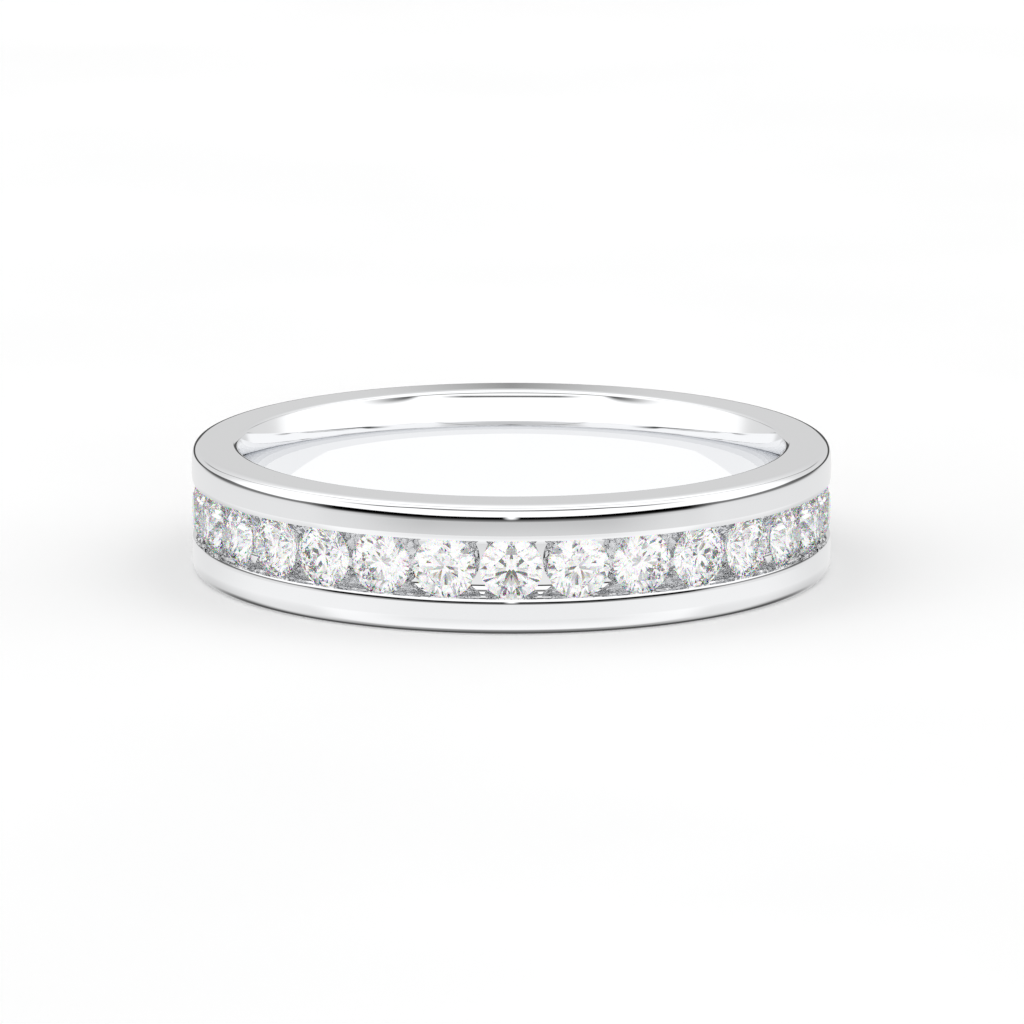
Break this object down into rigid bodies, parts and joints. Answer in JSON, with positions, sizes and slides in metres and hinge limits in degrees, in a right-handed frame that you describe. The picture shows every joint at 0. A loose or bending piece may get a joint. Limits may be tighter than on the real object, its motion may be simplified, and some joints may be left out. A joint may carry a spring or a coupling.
{
  "type": "channel set band",
  "caption": "Polished finger ring with one row of round brilliant stones held between two rails all the way round.",
  "frame": {"origin": "middle of the ring, on the plane of the side face that it rests on", "axes": "+Z along the finger hole, up from the side face it rests on; -Y towards the first stone"},
  "size_m": [0.02, 0.02, 0.004],
  "materials": {
    "white_gold": "mirror polished white gold",
    "diamond": "clear, polished facets"
  },
  "bodies": {
    "root": {"band": "white_gold", "stone_00": "diamond", "stone_01": "diamond", "stone_02": "diamond", "stone_03": "diamond", "stone_04": "diamond", "stone_05": "diamond", "stone_06": "diamond", "stone_07": "diamond", "stone_08": "diamond", "stone_09": "diamond", "stone_10": "diamond", "stone_11": "diamond", "stone_12": "diamond", "stone_13": "diamond", "stone_14": "diamond", "stone_15": "diamond", "stone_16": "diamond", "stone_17": "diamond", "stone_18": "diamond", "stone_19": "diamond", "stone_20": "diamond", "stone_21": "diamond", "stone_22": "diamond", "stone_23": "diamond", "stone_24": "diamond", "stone_25": "diamond", "stone_26": "diamond", "stone_27": "diamond", "stone_28": "diamond", "stone_29": "diamond"}
  },
  "joints": []
}
